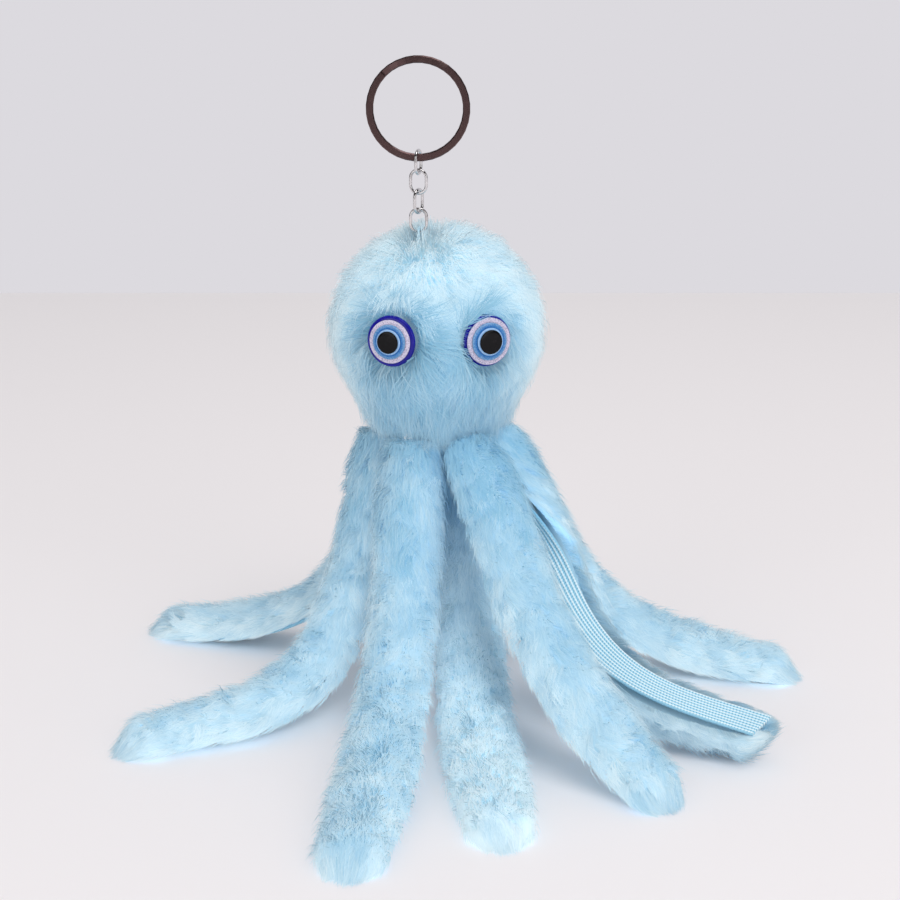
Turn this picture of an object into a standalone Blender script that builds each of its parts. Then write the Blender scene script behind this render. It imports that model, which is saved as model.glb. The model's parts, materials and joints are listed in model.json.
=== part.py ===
"""Plush octopus key charm, in metres, +Z up.

A fur ball head with two layered bead eyes and eight fur legs on woven tapes hangs by a thread loop
from four chain links and a split key ring. The origin is the top of the key ring's bore, where a hook
or a finger holds it. The front is -Y, so the eyes look towards -Y.
"""

import math

import bmesh
import bpy
from mathutils import Vector

MM = 0.001

smooth_angle_deg = 40.0
disc_edge_steps = 3
weld_share = 0.01

# Key ring: one flat strip wound twice, with a step where it crosses from one turn to the other
ring_outer_diameter = 28.5 * MM
ring_band = 2.0 * MM
ring_strip_thickness = 0.95 * MM
ring_turn_gap = 0.2 * MM
ring_edge_round = 0.25 * MM
ring_step_deg = 107.0
ring_step_span_deg = 26.0
ring_end_gap_deg = 3.0
ring_steps_per_turn = 36

# Chain: four welded oval links, each seated in the one above
link_wire = 0.95 * MM
link_inner_width = 3.5 * MM
link_inner_length = 5.6 * MM
link_clearance = 0.25 * MM
link_bow_steps = 7
link_wire_sides = 8
link_yaws_deg = (72.0, -12.0, 62.0, 0.0)

# Head: a fur ball, a little fuller and cut flat below, which hangs off its middle where the chain is
head_diameter = 59.4 * MM
head_flat_drop = 24.5 * MM
head_lower_fullness = 2.4
head_hang_left = 5.0 * MM
head_hang_forward = 8.0 * MM
head_rows = 9
head_columns = 36
pile_length = 11.5 * MM
hide_thickness = 1.2 * MM
mouth_radius = 6.0 * MM
loop_channel_radius = 2.1 * MM
channel_sides = 16
seat_gap = 0.3 * MM

# Stuffing, hanging loop, its knot, and what closes and covers the mouth
stuffing_columns = 24
stuffing_rows = 12
loop_thread = 0.9 * MM
loop_half_width = 1.1 * MM
loop_stand = 1.04 * MM
loop_bow_steps = 8
knot_diameter = 3.4 * MM
knot_up = 8.5 * MM
knot_rows = 6
gather_thread = 0.8 * MM
gather_drop = 22.0 * MM
gather_steps = 20
patch_radius = 19.0 * MM
patch_thickness = 1.2 * MM
patch_edge_round = 0.4 * MM

# Eyes: layered resin beads, glued on the pressed fur
eye_diameter = 14.2 * MM
eye_base_thickness = 3.4 * MM
eye_base_round = 0.9 * MM
eye_layer_thickness = 0.4 * MM
eye_layer_round = 0.15 * MM
eye_layer_gap = 0.12 * MM
eye_proud = 0.9 * MM
eye_sides = 28
eye_pocket_gap = 0.5 * MM
glue_diameter = 9.0 * MM
glue_thickness = 1.0 * MM
glue_edge_round = 0.35 * MM
# azimuth from the front and elevation, first of the bead's place on the head, then of the way it faces
eye_angles_deg = {"left": (-26.0, 3.5, -22.0, 1.0), "right": (29.5, 3.5, 25.0, 1.0)}
# outer diameter of each layer as a share of the bead's, from the base outwards
eye_layer_shares = {"white_ring": 0.90, "blue_ring": 0.72, "light_ring": 0.53, "pupil": 0.46}

# Legs: a strip of fur on a woven tape, sewn under the head
leg_root_radius = 18.0 * MM
leg_reach = 126.0 * MM
leg_width = 19.4 * MM
leg_crown = 7.2 * MM
leg_steps = 22
leg_end_steps = 3
leg_fine_steps = 8
leg_tangent_steps = 3
tape_width = 10.5 * MM
tape_thickness = 1.2 * MM
tape_steps = 22
floor_drop = 106.0 * MM

# Of each leg: azimuth of the root and of the tip from the front, positive to the right, in degrees
leg_azimuths_deg = {
    "front_left": (-25.0, -9.4),
    "front_centre": (75.0, 8.5),
    "front_right": (31.0, 33.0),
    "right": (79.0, 54.0),
    "back_right": (129.5, 88.8),
    "back": (176.0, 194.0),
    "back_left": (-128.0, -113.0),
    "left": (-78.0, -56.0),
}
# Of each leg: root radius, reach, the two inner points of its side curve as (out, up), and the bow
# of its plan line to the right
leg_shares = {
    "front_left": (1.0, 1.00, (0.05, 0.30), (0.30, 0.0), 0.0),
    "front_centre": (0.45, 0.88, (0.05, 0.22), (0.30, 0.0), 0.01),
    "front_right": (1.0, 0.84, (0.30, 0.66), (0.62, 0.10), 0.05),
    "right": (1.0, 0.85, (0.24, 0.56), (0.38, 0.02), 0.09),
    "back_right": (1.0, 0.83, (0.28, 0.72), (0.06, 0.0), -0.045),
    "back": (1.0, 0.76, (0.20, 0.25), (0.32, 0.0), 0.05),
    "back_left": (1.0, 0.76, (0.08, 0.40), (0.16, 0.0), 0.03),
    "left": (1.0, 0.80, (0.10, 0.20), (0.20, 0.0), -0.09),
}
# turn of a leg about its own length at its tip, and the shares of its length between which it turns
leg_twists_deg = {"right": -171.0}
leg_twist_shares = (0.0, 0.5)
# how much fuller some legs' fur stands, and the share of their length over which it fills out
leg_fullness = {"front_right": 1.4, "right": 1.45, "back_right": 1.37, "back_left": 1.15, "left": 1.2}
leg_fill_share = 0.5
# where along its length a leg rests on the floor
leg_rest_share = 0.78
# along a leg: share of its length, of the full width and of the full crown
leg_swell_shares = (
    (0.00, 0.705, 0.62),
    (0.09, 0.93, 0.95),
    (0.30, 0.90, 0.95),
    (0.50, 0.93, 1.00),
    (0.78, 1.03, 1.00),
    (0.93, 0.86, 0.85),
    (1.00, 0.64, 0.62),
)
# half of a leg's cross-section, from the middle of its flat back to its crown: out, up
leg_section_shares = (
    (0.0, 0.0),
    (0.62, 0.0),
    (0.93, 0.14),
    (1.0, 0.40),
    (0.80, 0.74),
    (0.42, 0.95),
    (0.0, 1.0),
)

ring_outer = ring_outer_diameter / 2
ring_inner = ring_outer - ring_band
ring_middle = ring_outer - ring_band / 2
ring_half_depth = ring_strip_thickness + ring_turn_gap / 2
link_bow = link_inner_width / 2
link_half = (link_inner_length + link_wire) / 2
link_pitch = link_inner_length - link_clearance
weld_distance = eye_layer_gap * weld_share
channel_edge_round = loop_thread / 2
channel_reach = head_diameter / 2 + link_inner_length
head_radius = head_diameter / 2
cavity_radius = head_radius - pile_length - hide_thickness
stuffing_radius = cavity_radius - seat_gap
crown_at_loop = math.sqrt(head_radius**2 - head_hang_left**2 - head_hang_forward**2)
hang_point = Vector((-head_hang_left, -head_hang_forward, crown_at_loop + loop_stand))
patch_bottom = -head_flat_drop - seat_gap - patch_thickness
fur_back = tape_thickness / 2 + seat_gap
root_round = leg_crown * leg_swell_shares[0][2] / 2
leg_axis_height = patch_bottom - seat_gap - root_round


def ease(share):
    """A share from 0 to 1, smoothed at both ends."""
    share = min(max(share, 0), 1)
    return share * share * (3 - 2 * share)


def direction(azimuth_deg, elevation_deg=0):
    """The unit vector at an azimuth from the front, positive to the right, and an elevation."""
    azimuth = math.radians(azimuth_deg)
    elevation = math.radians(elevation_deg)
    flat = math.cos(elevation)
    return Vector((math.sin(azimuth) * flat, -math.cos(azimuth) * flat, math.sin(elevation)))


def material(name, colour, roughness, metallic=0.0):
    made = bpy.data.materials.new(name)
    made.use_nodes = True
    shader = made.node_tree.nodes["Principled BSDF"]
    shader.inputs["Base Color"].default_value = (*colour, 1)
    shader.inputs["Roughness"].default_value = roughness
    shader.inputs["Metallic"].default_value = metallic
    made.diffuse_color = (*colour, 1)
    return made


def make_materials():
    return {
        "fur": material("pale_blue_fur", (0.42, 0.66, 0.80), 0.9),
        "tape": material("woven_tape", (0.40, 0.72, 0.87), 0.85),
        "gunmetal": material("gunmetal", (0.055, 0.035, 0.035), 0.35, 1.0),
        "steel": material("bright_steel", (0.72, 0.72, 0.74), 0.2, 1.0),
        "base": material("navy_resin", (0.012, 0.012, 0.25), 0.15),
        "white_ring": material("pearl_resin", (0.66, 0.62, 0.80), 0.25),
        "blue_ring": material("sea_blue_resin", (0.02, 0.16, 0.50), 0.15),
        "light_ring": material("light_blue_resin", (0.28, 0.46, 0.76), 0.2),
        "pupil": material("black_resin", (0.015, 0.014, 0.016), 0.12),
        "glue": material("clear_glue", (0.75, 0.72, 0.62), 0.35),
        "felt": material("blue_felt", (0.30, 0.52, 0.68), 0.95),
        "fibre": material("white_fibre", (0.85, 0.85, 0.83), 0.95),
        "thread": material("blue_thread", (0.20, 0.40, 0.58), 0.8),
    }


def link_to_scene(made, parent, at=(0, 0, 0)):
    bpy.context.scene.collection.objects.link(made)
    made.parent = parent
    made.location = at
    return made


def new_object(name, bm, finish, parent, at=(0, 0, 0)):
    """A smooth-shaded object of the mesh, placed in the frame of its parent."""
    bmesh.ops.recalc_face_normals(bm, faces=bm.faces)
    mesh = bpy.data.meshes.new(name)
    bm.to_mesh(mesh)
    bm.free()
    mesh.materials.append(finish)
    mesh.shade_smooth()
    mesh.set_sharp_from_angle(angle=math.radians(smooth_angle_deg))
    return link_to_scene(bpy.data.objects.new(name, mesh), parent, at)


def new_pivot(name, parent, at):
    """An empty on a joint's axis or at a piece's middle, placed in the frame of its parent."""
    pivot = bpy.data.objects.new(name, None)
    pivot.empty_display_size = link_inner_length
    return link_to_scene(pivot, parent, at)


def new_thread(name, points, thickness, finish, parent, cyclic=False):
    """A thread as a bevelled curve with filled ends."""
    curve = bpy.data.curves.new(name, "CURVE")
    curve.dimensions = "3D"
    curve.bevel_depth = thickness / 2
    curve.bevel_resolution = 1
    curve.use_fill_caps = not cyclic
    spline = curve.splines.new("POLY")
    spline.points.add(len(points) - 1)
    for place, point in zip(spline.points, points):
        place.co = (*point, 1)
    spline.use_cyclic_u = cyclic
    curve.materials.append(finish)
    return link_to_scene(bpy.data.objects.new(name, curve), parent)


def loft(rings, closed=False):
    """A mesh through rings of as many points each, closed on itself or with its two ends filled."""
    bm = bmesh.new()
    loops = [[bm.verts.new(point) for point in ring] for ring in rings]
    pairs = list(zip(loops, loops[1:]))
    if closed:
        pairs.append((loops[-1], loops[0]))
    for low, high in pairs:
        for i in range(len(low)):
            j = (i + 1) % len(low)
            bm.faces.new((low[i], low[j], high[j], high[i]))
    if not closed:
        bm.faces.new(loops[0])
        bm.faces.new(loops[-1])
    return bm


def turned(profile, columns):
    """A profile of (radius, height) points that starts and ends on Z, turned into a closed solid."""
    bm = bmesh.new()
    verts = [bm.verts.new((radius, 0, height)) for radius, height in profile]
    edges = [bm.edges.new(pair) for pair in zip(verts, verts[1:])]
    bmesh.ops.spin(
        bm,
        geom=verts + edges,
        cent=(0, 0, 0),
        axis=(0, 0, 1),
        angle=2 * math.pi,
        steps=columns,
        use_merge=True,
    )
    bmesh.ops.remove_doubles(bm, verts=bm.verts, dist=weld_distance)
    return bm


def disc_profile(radius, bottom, top, edge_round):
    """The profile of a disc whose upper edge is rounded."""
    points = [(0, bottom), (radius, bottom)]
    for i in range(disc_edge_steps + 1):
        angle = math.pi / 2 * i / disc_edge_steps
        out = radius - edge_round * (1 - math.cos(angle))
        points.append((out, top - edge_round * (1 - math.sin(angle))))
    points.append((0, top))
    return points


def ball_profile(radius, rows, start=math.pi / 2):
    """A ball's profile from an angle above its middle down to its lowest point."""
    angles = [start - (start + math.pi / 2) * i / rows for i in range(rows + 1)]
    points = [(radius * math.cos(angle), radius * math.sin(angle)) for angle in angles]
    return points[:-1] + [(0, -radius)]


def aim(made, facing):
    """Turns the object's Z to a direction."""
    made.rotation_mode = "QUATERNION"
    made.rotation_quaternion = facing.to_track_quat("Z", "Y")


def cut(target, cutter):
    """Takes the cutter's shape out of the target and keeps the cutter as a hidden helper."""
    cutter.hide_render = True
    cutter.display_type = "WIRE"
    boolean = target.modifiers.new("cut_" + cutter.name, "BOOLEAN")
    boolean.operation = "DIFFERENCE"
    boolean.object = cutter


def strip_section():
    """The ring strip's rectangle with its four edges taken off, as (radial, axial) points."""
    radial, axial, corner = ring_band / 2, ring_strip_thickness / 2, ring_edge_round
    points = [(radial, axial - corner), (radial - corner, axial)]
    points += [(-r, a) for r, a in reversed(points)]
    return points + [(-r, -a) for r, a in points]


def make_key_ring(finish, frame):
    """The strip makes two turns less a small gap, and steps across where its two ends stop."""
    step_start = math.radians(ring_step_deg)
    step_span = math.radians(ring_step_span_deg)
    end_gap = math.radians(ring_end_gap_deg)
    begin = step_start + step_span + end_gap - 2 * math.pi
    end = step_start + 2 * math.pi - end_gap
    count = round((end - begin) / (2 * math.pi) * ring_steps_per_turn)
    layer = (ring_strip_thickness + ring_turn_gap) / 2
    section = strip_section()
    rings = []
    for i in range(count + 1):
        angle = begin + (end - begin) * i / count
        side = layer * (2 * ease((angle - step_start) / step_span) - 1)
        out = Vector((math.cos(angle), 0, math.sin(angle)))
        rings.append([out * (ring_middle + r) + Vector((0, side + a, 0)) for r, a in section])
    return new_object("key_ring", loft(rings), finish, frame, (0, 0, -ring_inner))


def link_mesh():
    """An oval link standing in the XZ plane, centred on the origin."""
    across = Vector((0, 1, 0))
    rings = []
    for end in (1, -1):
        centre = Vector((0, 0, end * (link_inner_length - link_inner_width) / 2))
        for i in range(link_bow_steps + 1):
            angle = math.pi * i / link_bow_steps
            out = Vector((math.cos(angle), 0, math.sin(angle))) * end
            place = centre + out * (link_bow + link_wire / 2)
            ring = []
            for j in range(link_wire_sides):
                turn = 2 * math.pi * (j + 1 / 2) / link_wire_sides
                ring.append(place + (out * math.cos(turn) + across * math.sin(turn)) * link_wire / 2)
            rings.append(ring)
    return loft(rings, closed=True)


def make_chain(finish, frame):
    """Hangs each link in the one above, on an empty at the wire it turns on. Returns the head's empty."""
    arch_drop = link_bow - math.sqrt(link_bow**2 - ring_half_depth**2)
    wire_height = -2 * ring_inner + arch_drop + link_clearance + link_wire / 2
    pivot_height = -ring_inner - ring_middle
    link_height = wire_height - link_half
    pivot = new_pivot("pivot_link_1", frame, (0, 0, pivot_height))
    for number, yaw in enumerate(link_yaws_deg, start=1):
        place = (0, 0, link_height - pivot_height)
        link = new_object(f"chain_link_{number}", link_mesh(), finish, pivot, place)
        link.rotation_euler = (0, 0, math.radians(yaw))
        next_height = link_height - link_half
        name = f"pivot_link_{number + 1}" if number < len(link_yaws_deg) else "pivot_head"
        pivot = new_pivot(name, pivot, (0, 0, next_height - pivot_height))
        pivot_height = next_height
        link_height -= link_pitch
    return pivot


def head_profile():
    """From the crown of the fur down to the flat underside, in at the mouth and round the cavity."""
    points = []
    for i in range(head_rows + 1):
        angle = math.pi / 2 * (1 - i / head_rows)
        points.append((head_radius * math.cos(angle), head_radius * math.sin(angle)))
    for i in range(1, head_rows + 1):
        height = head_flat_drop * math.sin(math.pi / 2 * i / head_rows)
        width = (1 - (height / head_radius) ** head_lower_fullness) ** (1 / head_lower_fullness)
        points.append((head_radius * width, -height))
    points.append((mouth_radius, -head_flat_drop))
    low = math.acos(mouth_radius / cavity_radius)
    for i in range(head_rows + 1):
        angle = -low + (low + math.pi / 2) * i / head_rows
        points.append((cavity_radius * math.cos(angle), cavity_radius * math.sin(angle)))
    points[0] = (0, head_radius)
    points[-1] = (0, cavity_radius)
    return points


def make_head(finishes, head):
    """The fur cover with the channel of the hanging loop, and the stuffing with the pocket of its knot."""
    cover_solid = turned(head_profile(), head_columns)
    cover = new_object("head_fur_cover", cover_solid, finishes["fur"], head)
    channel_profile = disc_profile(loop_channel_radius, 0, channel_reach, channel_edge_round)
    channel_solid = turned(channel_profile, channel_sides)
    channel_place = (hang_point.x, hang_point.y, 0)
    cut(cover, new_object("loop_channel", channel_solid, finishes["fur"], head, channel_place))
    ball_solid = turned(ball_profile(stuffing_radius, stuffing_rows), stuffing_columns)
    ball = new_object("stuffing_ball", ball_solid, finishes["fibre"], head)
    pocket_radius = knot_diameter / 2 + seat_gap
    pocket_profile = disc_profile(pocket_radius, -pocket_radius, channel_reach, channel_edge_round)
    pocket_solid = turned(pocket_profile, channel_sides)
    pocket_place = (hang_point.x, hang_point.y, knot_up)
    cut(ball, new_object("knot_pocket", pocket_solid, finishes["fibre"], head, pocket_place))
    return cover


def make_loop(finish, head):
    """A thread loop through the last link, its knot in the stuffing, and the thread round the mouth."""
    low = knot_up + knot_diameter / 2 + seat_gap
    bow = hang_point.z + link_wire / 2 + link_clearance + loop_thread / 2 - loop_half_width
    across = Vector((0, loop_half_width, 0))
    foot = Vector((hang_point.x, hang_point.y, low))
    points = [foot - across]
    for i in range(loop_bow_steps + 1):
        angle = math.pi * i / loop_bow_steps
        up = Vector((0, 0, bow - low + loop_half_width * math.sin(angle)))
        points.append(foot - across * math.cos(angle) + up)
    points.append(foot + across)
    new_thread("hanging_loop", points, loop_thread, finish, head)
    knot = turned(ball_profile(knot_diameter / 2, knot_rows), knot_rows * 2)
    new_object("hanging_loop_knot", knot, finish, head, (hang_point.x, hang_point.y, knot_up))
    radius = mouth_radius - seat_gap - gather_thread / 2
    drop = Vector((0, 0, gather_drop))
    ring = [direction(360 * i / gather_steps) * radius - drop for i in range(gather_steps)]
    new_thread("gathering_thread", ring, gather_thread, finish, head, cyclic=True)


def make_patch(finish, head):
    solid = turned(disc_profile(patch_radius, 0, patch_thickness, patch_edge_round), head_columns)
    new_object("leg_patch", solid, finish, head, (0, 0, patch_bottom))


def make_eye(side, finishes, head, cover):
    """A bead built up from its glue outwards, in a pocket pressed into the fur."""
    place_azimuth, place_elevation, face_azimuth, face_elevation = eye_angles_deg[side]
    facing = direction(face_azimuth, face_elevation)
    front = direction(place_azimuth, place_elevation) * (head_radius + eye_proud)
    layers = len(eye_layer_shares)
    back = -eye_base_thickness - layers * (eye_layer_thickness + eye_layer_gap)

    def disc(name, diameter, bottom, top, edge_round, finish):
        made = new_object(
            f"{side}_eye_{name}",
            turned(disc_profile(diameter / 2, bottom, top, edge_round), eye_sides),
            finish,
            head,
            front,
        )
        aim(made, facing)
        return made

    base_top = back + eye_base_thickness
    disc("base", eye_diameter, back, base_top, eye_base_round, finishes["base"])
    bottom = base_top + eye_layer_gap
    for name, share in eye_layer_shares.items():
        top = bottom + eye_layer_thickness
        disc(name, eye_diameter * share, bottom, top, eye_layer_round, finishes[name])
        bottom = top + eye_layer_gap
    glue_top = back - seat_gap
    glue_bottom = glue_top - glue_thickness
    disc("glue", glue_diameter, glue_bottom, glue_top, glue_edge_round, finishes["glue"])
    floor = glue_bottom - seat_gap
    mouth = eye_diameter + 2 * eye_pocket_gap
    cut(cover, disc("pocket", mouth, floor, -floor, eye_base_round, finishes["fur"]))


def swell(name, share):
    """Width and crown at a share of a leg's length."""
    full = 1 + (leg_fullness.get(name, 1.0) - 1) * ease(share / leg_fill_share)
    for low, high in zip(leg_swell_shares, leg_swell_shares[1:]):
        start, width, crown = low
        stop, next_width, next_crown = high
        if share <= stop:
            blend = ease((share - start) / (stop - start))
            return (
                leg_width * (width + (next_width - width) * blend),
                leg_crown * full * (crown + (next_crown - crown) * blend),
            )
    return leg_width * leg_swell_shares[-1][1], leg_crown * full * leg_swell_shares[-1][2]


def fur_section(width, crown, shrink=1.0):
    """The fur's flat-backed section as (side, normal) points, shrunk towards its own middle."""
    half = [(side * width / 2, up * crown) for side, up in leg_section_shares]
    points = half + [(-side, up) for side, up in reversed(half[1:-1])]
    middle = crown / 2
    return [(side * shrink, fur_back + middle + (up - middle) * shrink) for side, up in points]


def tape_section():
    half_width, half = tape_width / 2, tape_thickness / 2
    return [(half_width, -half), (half_width, half), (-half_width, half), (-half_width, -half)]


def leg_twist(name, share):
    start, stop = leg_twist_shares
    return math.radians(leg_twists_deg.get(name, 0)) * ease((share - start) / (stop - start))


def lie_height(name):
    """How high the tape's middle lies over the floor, so that the lowest fur or tape rests on it."""
    twist = leg_twist(name, 1)
    width, crown = swell(name, leg_rest_share)
    section = fur_section(width, crown) + tape_section()
    return -min(up * math.cos(twist) - side * math.sin(twist) for side, up in section)


def leg_ends(name):
    """The middle of the leg's turning axis at its root, and its tape's middle at its tip on the floor."""
    root_azimuth, tip_azimuth = leg_azimuths_deg[name]
    root_share, reach_share = leg_shares[name][:2]
    root = direction(root_azimuth) * leg_root_radius * root_share
    tip = direction(tip_azimuth) * leg_reach * reach_share
    root.z = leg_axis_height
    tip.z = lie_height(name) - floor_drop
    return root, tip


def leg_frames(name, steps):
    """Place, side, normal and tangent at equal steps of the leg's curve."""
    root, tip = leg_ends(name)
    inner_low, inner_high, bow = leg_shares[name][2:]
    plan = Vector((tip.x - root.x, tip.y - root.y, 0))
    out = plan.normalized()
    right = out.cross(Vector((0, 0, 1)))
    drop = root.z - tip.z
    controls = [(0, 1), inner_low, inner_high, (1, 0)]
    level = [Vector((share * plan.length, up * drop)) for share, up in controls]
    first = (level[1] - level[0]).normalized()
    behind_axis = Vector((-first.y, first.x)) * (fur_back + root_round)
    level[0] -= behind_axis
    level[1] -= behind_axis

    def place(share):
        rest = 1 - share
        flat = (
            level[0] * rest**3
            + level[1] * 3 * rest**2 * share
            + level[2] * 3 * rest * share**2
            + level[3] * share**3
        )
        aside = bow * plan.length * math.sin(math.pi * flat.x / plan.length) ** 2
        return Vector((root.x, root.y, tip.z)) + out * flat.x + right * aside + Vector((0, 0, flat.y))

    count = steps * leg_fine_steps
    fine = [place(i / count) for i in range(count + 1)]
    lengths = [0.0]
    for before, after in zip(fine, fine[1:]):
        lengths.append(lengths[-1] + (after - before).length)
    frames = []
    at = 0
    for i in range(steps + 1):
        wanted = lengths[-1] * i / steps
        while at < len(fine) - 2 and lengths[at + 1] < wanted:
            at += 1
        along = (wanted - lengths[at]) / (lengths[at + 1] - lengths[at])
        point = fine[at].lerp(fine[at + 1], along)
        before = fine[max(at - leg_tangent_steps, 0)]
        after = fine[min(at + leg_tangent_steps + 1, len(fine) - 1)]
        tangent = (after - before).normalized()
        level_side = tangent.cross(Vector((0, 0, 1))).normalized()
        level_normal = level_side.cross(tangent)
        twist = leg_twist(name, i / steps)
        normal = level_normal * math.cos(twist) + level_side * math.sin(twist)
        side = level_side * math.cos(twist) - level_normal * math.sin(twist)
        frames.append((point, side, normal, tangent))
    return frames


def placed(section, frame, onward=0.0):
    point, side, normal, tangent = frame
    return [point + side * a + normal * b + tangent * onward for a, b in section]


def leg_fur_mesh(name, axis):
    """The fur strip, with its root rounded about the turning axis and its tip rounded alike."""
    frames = leg_frames(name, leg_steps)
    rings = []
    for i, frame in enumerate(frames):
        width, crown = swell(name, i / leg_steps)
        ends = [(0, 1.0)]
        if i in (0, leg_steps):
            angles = [math.pi / 2 * j / (leg_end_steps + 1) for j in range(leg_end_steps + 1)]
            ends = [(crown / 2 * math.sin(angle), math.cos(angle)) for angle in angles]
        if i == 0:
            ends = [(-onward, shrink) for onward, shrink in reversed(ends)]
        for onward, shrink in ends:
            ring = placed(fur_section(width, crown, shrink), frame, onward)
            rings.append([point - axis for point in ring])
    return loft(rings)


def make_leg(name, finishes, head):
    """A fur strip and its tape on an empty that stands on the leg's turning axis."""
    axis = leg_ends(name)[0]
    pivot = new_pivot(f"pivot_leg_{name}", head, axis)
    new_object(f"leg_{name}_fur", leg_fur_mesh(name, axis), finishes["fur"], pivot)
    frames = leg_frames(name, tape_steps)
    tape = [[corner - axis for corner in placed(tape_section(), frame)] for frame in frames]
    new_object(f"leg_{name}_tape", loft(tape), finishes["tape"], pivot)


def main():
    for made in list(bpy.data.objects):
        bpy.data.objects.remove(made, do_unlink=True)
    finishes = make_materials()
    frame = new_pivot("hang_frame", None, (0, 0, 0))
    make_key_ring(finishes["gunmetal"], frame)
    head = new_pivot("head_middle", make_chain(finishes["steel"], frame), -hang_point)
    cover = make_head(finishes, head)
    make_loop(finishes["thread"], head)
    make_patch(finishes["felt"], head)
    for side in eye_angles_deg:
        make_eye(side, finishes, head, cover)
    for name in leg_azimuths_deg:
        make_leg(name, finishes, head)


main()
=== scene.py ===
import json
import math

import bmesh
import bpy
import numpy as np
from mathutils import Matrix, Vector
from mathutils.bvhtree import BVHTree
from mathutils.kdtree import KDTree


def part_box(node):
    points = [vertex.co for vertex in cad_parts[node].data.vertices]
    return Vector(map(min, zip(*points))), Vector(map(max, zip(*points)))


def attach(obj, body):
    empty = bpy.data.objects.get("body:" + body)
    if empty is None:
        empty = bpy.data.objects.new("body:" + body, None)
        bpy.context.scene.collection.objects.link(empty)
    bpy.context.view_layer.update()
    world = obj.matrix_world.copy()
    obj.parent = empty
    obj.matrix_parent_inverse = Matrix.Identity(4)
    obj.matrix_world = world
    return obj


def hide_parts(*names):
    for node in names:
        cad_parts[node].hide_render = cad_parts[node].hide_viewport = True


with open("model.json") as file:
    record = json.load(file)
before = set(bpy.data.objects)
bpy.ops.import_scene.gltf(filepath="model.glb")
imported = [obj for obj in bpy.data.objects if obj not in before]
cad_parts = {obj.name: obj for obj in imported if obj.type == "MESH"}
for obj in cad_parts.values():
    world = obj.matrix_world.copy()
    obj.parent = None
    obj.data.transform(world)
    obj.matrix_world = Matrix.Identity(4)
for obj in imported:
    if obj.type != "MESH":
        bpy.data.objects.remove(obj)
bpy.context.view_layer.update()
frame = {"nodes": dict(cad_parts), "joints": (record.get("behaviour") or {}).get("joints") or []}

MM = 0.001
NODES = frame["nodes"]
LEGS = ("front_left", "front_centre", "front_right", "right", "back_right", "back", "back_left", "left")

# Camera, as the photograph was taken, on a square picture of 900 pixels
PICTURE_PX = 900
FOCUS_PX = 1800
SENSOR_MM = 36.0
CAMERA_PLACE = Vector((8.7, -498.0, 24.85)) * MM
CAMERA_DOWN_DEG = 15.0
HORIZON_PX = 293
WALL = (0.716, 0.701, 0.738)
TABLE = (0.85, 0.82, 0.83)
# each light's name, place, aim, diameter, power and colour
LIGHTS = (
    ("key_light", (0.45, -0.55, 1.55), (0, 0, -0.09), 1.1, 11.2, (1.0, 0.985, 0.975)),
    ("front_light_left", (-0.85, -1.1, 0.25), (0, 0, -0.11), 0.9, 3.2, (1.0, 0.99, 0.98)),
    ("front_light_right", (0.85, -1.1, 0.25), (0, 0, -0.11), 0.9, 3.2, (1.0, 0.99, 0.99)),
)

# Fur
HEAD_HAIRS = 60000
HEAD_CLUMPS = 1500
LEG_HAIRS = 24000
# how many of them grow all along a leg, where the rest grow at its end
LEG_HAIRS_ALONG = int(LEG_HAIRS * 0.87)
LEG_CLUMPS = 480
HAIR_WIDTH = 0.24 * MM
HAIR_ROLL_DEG = 25.0
HEAD_HIDE_DEPTH = 5.0 * MM
LEG_HIDE_DEPTH = 2.4 * MM
# how far a hide stands over the roots of its hairs
HIDE_COVER = 0.3 * MM
HEAD_HAIR_CUTS = 2
LEG_HAIR_CUTS = 1
HEAD_SOFTNESS = 0.66
LEG_SOFTNESS = 0.93
# where the map of a hair starts: the more, the paler its root
HEAD_ROOT = 0.03
LEG_ROOT = 0.4
# painted shade where a leg leaves the head, in the head's shadow, and painted light (paler) or painted shade
# (deeper) all along each leg, which evens out how lit the legs look
USUAL_LEG_PAINTED_LIGHT = (0.32, 0.0)
LEG_PAINTED_LIGHT = {"front_left": (0.32, -0.04), "front_centre": (0.32, 0.26), "front_right": (0.62, -0.1)}
# the lower form of the head, as the power of its curve
HEAD_FULLNESS = 2.4
# where the lowest hair of the head hangs to, round the roots of the legs
FRINGE_RADIUS = 20.8 * MM
FRINGE_DROP = 27.4 * MM
# the tuft that stands round the hanging loop
TUFT_RADIUS = 5.5 * MM
TUFT_HEIGHT = 4.0 * MM
# how much higher the hair stands on the side of the left and the right bead that is next to the nose
EYE_BANKS = (2.1 * MM, 3.3 * MM)
# the rings of one bead are a little smaller than those of the other
RING_SHARES = {"left": 0.94, "right": 1.02}
# a bead's back against its front
BEAD_BACK = 0.84
# how far hair keeps off a bead's side, and how far behind its back that still holds
BEAD_GAP = 0.2 * MM
BEAD_GAP_DEPTH = 0.6 * MM
# a tuft between the eyes that lies over to one side
NOSE_PX = (434, 333)
LEG_LEAN = 5.4 * MM
# the share of a leg's hairs that stand out from the rest
LEG_STRAYS = 0.25
# how high over the middle of its tape a leg is widest
LEG_WAIST = 1.6 * MM
LEG_TIP_ROUND = 7.0 * MM
# how far the hair of a leg's end reaches past its tape, and hangs below the tape's middle
LEG_TIP_REACH = 4.0 * MM
LEG_TIP_DROOP = 0.8 * MM
LEG_TIP_TURN_DEG = 64.0

# Tape
TAPE_RIBS = 9
WEAVE_PITCH = 0.9 * MM
# how much a tape narrows at its cut end, and which doesn't
TAPE_END_NARROWING = 0.16
SQUARE_TAPES = ("right",)


# Vectors, objects and meshes


def lengths(vectors):
    return np.linalg.norm(vectors, axis=-1)


def unit(vectors):
    """Vectors made one long, over the last axis."""
    return vectors / np.maximum(lengths(vectors)[..., None], 1e-9)


def off_axis(points, foot, way):
    """How far points are along an axis from its foot, and the way and distance they are off it."""
    off = points - foot
    along = off @ way
    flat = off - along[..., None] * way
    return along, flat, lengths(flat)


def held(values):
    """Values held between nothing and one."""
    return np.clip(values, 0, 1)


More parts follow.
